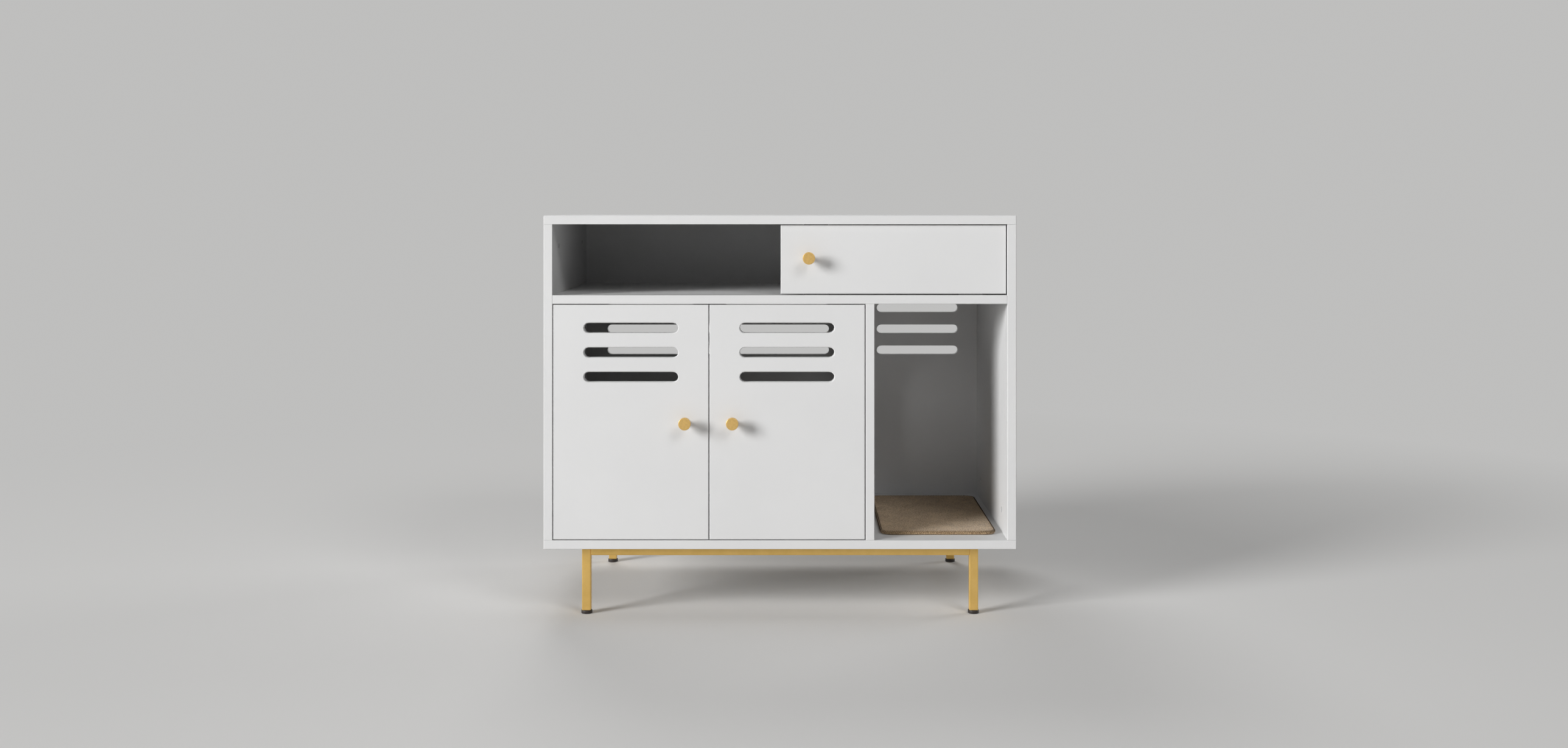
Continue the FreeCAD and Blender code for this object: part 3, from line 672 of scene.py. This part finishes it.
def make_fasteners(steel, cast, nickel):
    make_screws("hinge_arm_screws", "cabinet", into_room, steel, 0.004)
    make_screws("hinge_plate_screws", "cabinet", into_room, steel, 0.003)
    make_screws("catch_screw", "cabinet", lambda middle: (0, 0, -1), steel, 0.008)
    make_screws("base_screws", "cabinet", lambda middle: (0, 0, -1), steel)
    for side in ("left", "right"):
        make_screws(side + "_hinge_cup_screws", side + "_door", lambda middle: (0, 1, 0), steel)
        make_screws(side + "_door_knob_screw", side + "_door", lambda middle: (0, 1, 0), steel, 0.010)
        make_cups(side, nickel)
    make_screws("sliding_door_knob_screw", "sliding_door", lambda middle: (0, 1, 0), steel, 0.008)
    make_cams(cast)


def rounded_outline(half_x, half_y, corner, spacing):
    """Points and outward ways around a rounded rectangle, at about equal spacing."""
    straight_x = 2 * (half_x - corner)
    straight_y = 2 * (half_y - corner)
    quarter = math.pi * corner / 2
    total = 2 * straight_x + 2 * straight_y + 4 * quarter
    count = round(total / spacing)
    runs = ((straight_x, (-half_x + corner, -half_y), (1, 0), (0, -1)),
            (straight_y, (half_x, -half_y + corner), (0, 1), (1, 0)),
            (straight_x, (half_x - corner, half_y), (-1, 0), (0, 1)),
            (straight_y, (-half_x, half_y - corner), (0, -1), (-1, 0)))
    points = []
    for i in range(count):
        s = total * i / count
        for length, start, way, out in runs:
            if s < length:
                points.append((start[0] + way[0] * s, start[1] + way[1] * s, out[0], out[1]))
                break
            s -= length
            if s < quarter:
                turn = s / corner
                end = (start[0] + way[0] * length, start[1] + way[1] * length)
                centre = (end[0] - out[0] * corner, end[1] - out[1] * corner)
                normal = (out[0] * math.cos(turn) + way[0] * math.sin(turn),
                          out[1] * math.cos(turn) + way[1] * math.sin(turn))
                points.append((centre[0] + normal[0] * corner, centre[1] + normal[1] * corner, *normal))
                break
            s -= quarter
    return points


def mat_wave(x, y):
    """The slight unevenness of a mat that has been lain on."""
    return 0.0005 * noise.noise(Vector((x * 14, y * 14, 0.3)))


def make_mat(pile, thread):
    """A thick pile mat with rounded edges, oversewn all round."""
    low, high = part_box("scratch_mat")
    middle = (low + high) / 2
    half_x = (high.x - low.x) / 2
    half_y = (high.y - low.y) / 2
    thick = high.z - low.z
    face = thick - MAT_FACE_DROP
    outline = rounded_outline(half_x - SEWING_RADIUS, half_y - SEWING_RADIUS, MAT_CORNER, STITCH)
    bm = bmesh.new()
    rings = []
    section = [(0.006, 0.0002), (0.0012, 0.0004), (0.0002, 0.0018), (0.0, thick * 0.5),
               (0.0003, thick - 0.0022), (0.0012, thick - 0.0012), (0.0026, thick - 0.0008), (0.0050, face)]
    for inset, z in section:
        rings.append([bm.verts.new((x - nx * inset, y - ny * inset, z)) for x, y, nx, ny in outline])
    for share in (0.9, 0.78, 0.64, 0.48, 0.32, 0.16):
        verts = []
        for x, y, nx, ny in outline:
            px, py = x * share, y * share
            verts.append(bm.verts.new((px, py, face + mat_wave(px, py))))
        rings.append(verts)
    count = len(outline)
    for a, b in zip(rings, rings[1:]):
        bridge(bm, a, b)
    for rim, z in ((rings[0], section[0][1]), (rings[-1], face)):
        centre = bm.verts.new((0, 0, z))
        for i in range(count):
            bm.faces.new((centre, rim[i], rim[(i + 1) % count]))
    piece = as_object("pile_mat", bm, (middle.x, middle.y, low.z), pile)
    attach(piece, "mat")
    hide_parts("scratch_mat")
    make_oversewing(outline, (middle.x, middle.y, low.z), thick, thread)


def make_oversewing(outline, origin, thick, thread):
    """The thread that loops over the mat's edge, one stitch for each point of its outline."""
    count = len(outline)
    curve = bpy.data.curves.new("mat_oversewing", "CURVE")
    curve.dimensions = "3D"
    curve.bevel_depth = SEWING_RADIUS
    curve.bevel_resolution = 1
    spline = curve.splines.new("POLY")
    path = []
    for i, (x, y, nx, ny) in enumerate(outline):
        following = outline[(i + 1) % count]
        path.append((x - nx * STITCH_DEPTH, y - ny * STITCH_DEPTH, thick - SEWING_RADIUS))
        mid = [(a + b) / 2 for a, b in zip((x, y, nx, ny), following)]
        path.append((mid[0] - mid[2] * 0.0004, mid[1] - mid[3] * 0.0004, thick * 0.75))
        path.append((mid[0], mid[1], thick * 0.35))
        path.append((following[0] - following[2] * 0.0002, following[1] - following[3] * 0.0002, thick * 0.7))
    spline.points.add(len(path) - 1)
    for point, (x, y, z) in zip(spline.points, path):
        point.co = (x, y, z, 1)
    spline.use_cyclic_u = True
    curve.materials.append(thread)
    stitches = bpy.data.objects.new("mat_oversewing", curve)
    stitches.location = origin
    bpy.context.collection.objects.link(stitches)
    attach(stitches, "mat")


# Stage, lights and camera

def make_floor():
    """A pale floor that fades to the backdrop's grey away from the cabinet."""
    bpy.ops.mesh.primitive_plane_add(size=FLOOR_SIZE)
    floor = bpy.context.object
    floor.name = "floor"
    material, tree, shader = new_material("pale_floor")
    shader.inputs["Base Color"].default_value = (0.74, 0.735, 0.725, 1)
    shader.inputs["Roughness"].default_value = 0.9
    shader.inputs["Specular IOR Level"].default_value = 0.1
    coordinates = tree.nodes.new("ShaderNodeTexCoord")
    length = tree.nodes.new("ShaderNodeVectorMath")
    length.operation = "LENGTH"
    tree.links.new(coordinates.outputs["Object"], length.inputs[0])
    far = span(tree, length.outputs["Value"], 0.0, 1.0, FADE_START, FADE_END)
    glow = tree.nodes.new("ShaderNodeEmission")
    glow.inputs["Color"].default_value = (*BACKDROP, 1)
    mix = tree.nodes.new("ShaderNodeMixShader")
    output = next(node for node in tree.nodes if node.type == "OUTPUT_MATERIAL")
    tree.links.new(maths(tree, "MULTIPLY", far, looked_at(tree)), mix.inputs["Fac"])
    tree.links.new(shader.outputs["BSDF"], mix.inputs[1])
    tree.links.new(glow.outputs["Emission"], mix.inputs[2])
    tree.links.new(mix.outputs["Shader"], output.inputs["Surface"])
    floor.data.materials.append(material)


def make_world():
    """The backdrop's grey where it is seen or mirrored, and a soft even fill elsewhere."""
    world = bpy.data.worlds.new("studio")
    bpy.context.scene.world = world
    world.use_nodes = True
    tree = world.node_tree
    background = next(node for node in tree.nodes if node.type == "BACKGROUND")
    background.inputs["Color"].default_value = (*BACKDROP, 1)
    strength = span(tree, looked_at(tree), AMBIENT, 1.0, 0.0, 1.0)
    tree.links.new(strength, background.inputs["Strength"])


def make_light(name, place_at, target, power, size):
    lamp = bpy.data.lights.new(name, "AREA")
    lamp.shape = "DISK"
    lamp.energy = power
    lamp.size = size
    obj = bpy.data.objects.new(name, lamp)
    obj.location = place_at
    obj.rotation_euler = (Vector(target) - Vector(place_at)).to_track_quat("-Z", "Y").to_euler()
    bpy.context.collection.objects.link(obj)


def make_camera():
    """The photograph's level one-point view."""
    data = bpy.data.cameras.new("camera")
    data.sensor_fit = "HORIZONTAL"
    data.sensor_width = 36.0
    data.lens = CAMERA_LENS
    data.shift_x, data.shift_y = CAMERA_SHIFT
    camera = bpy.data.objects.new("camera", data)
    camera.location = CAMERA_AT
    camera.rotation_euler = (math.radians(90), 0, 0)
    bpy.context.collection.objects.link(camera)
    bpy.context.scene.camera = camera


def dress_frame(finishes):
    """Gives each CAD node the material of its slot."""
    for entry in frame["record"]["subparts"]:
        node = frame["nodes"][entry["node"]]
        material = finishes[entry["material_slot"]]
        if entry["node"].endswith("door"):
            material = finishes["door_board"]
        for slot in node.material_slots:
            slot.material = material


finishes = {
    "white_board": board_material("melamine_board", True),
    "door_board": board_material("melamine_door", False),
    "gold_paint": gold_paint(),
    "gold_knob": turned_gold(),
    "zinc_steel": plated("zinc_plate", (0.50, 0.51, 0.52), (0.64, 0.65, 0.66), 0.32, (1, 1, 1)),
    "hinge_nickel": plated("nickel_plate", (0.60, 0.585, 0.55), (0.72, 0.71, 0.68), 0.22, (0.2, 1, 1)),
    "dark_plastic": moulded("dark_plastic", (0.018, 0.014, 0.012), (0.040, 0.031, 0.026), 0.48, 1500.0),
    "cam_zinc": plated("cast_zinc", (0.16, 0.16, 0.165), (0.28, 0.28, 0.285), 0.5, (1, 1, 1)),
    "dowel_wood": beech(),
    "track_plastic": moulded("track_plastic", (0.22, 0.22, 0.215), (0.30, 0.30, 0.295), 0.42, 1200.0),
    "glide_plastic": moulded("glide_plastic", (0.05, 0.05, 0.05), (0.09, 0.09, 0.09), 0.36, 1400.0),
    "white_plastic": moulded("white_plastic", (0.70, 0.70, 0.685), (0.78, 0.78, 0.765), 0.34, 1400.0),
    "magnet_steel": moulded("ferrite", (0.035, 0.035, 0.037), (0.075, 0.075, 0.078), 0.55, 2000.0),
    "mat_board": mat_pile(),
}
dress_frame(finishes)
make_knobs(finishes["gold_knob"])
make_feet(finishes["dark_plastic"])
make_fasteners(finishes["zinc_steel"], finishes["cam_zinc"], finishes["hinge_nickel"])
make_mat(finishes["mat_board"], mat_thread())
make_floor()
make_world()
for lamp_values in LAMPS:
    make_light(*lamp_values)
make_camera()

bpy.context.scene.view_settings.view_transform = "Standard"
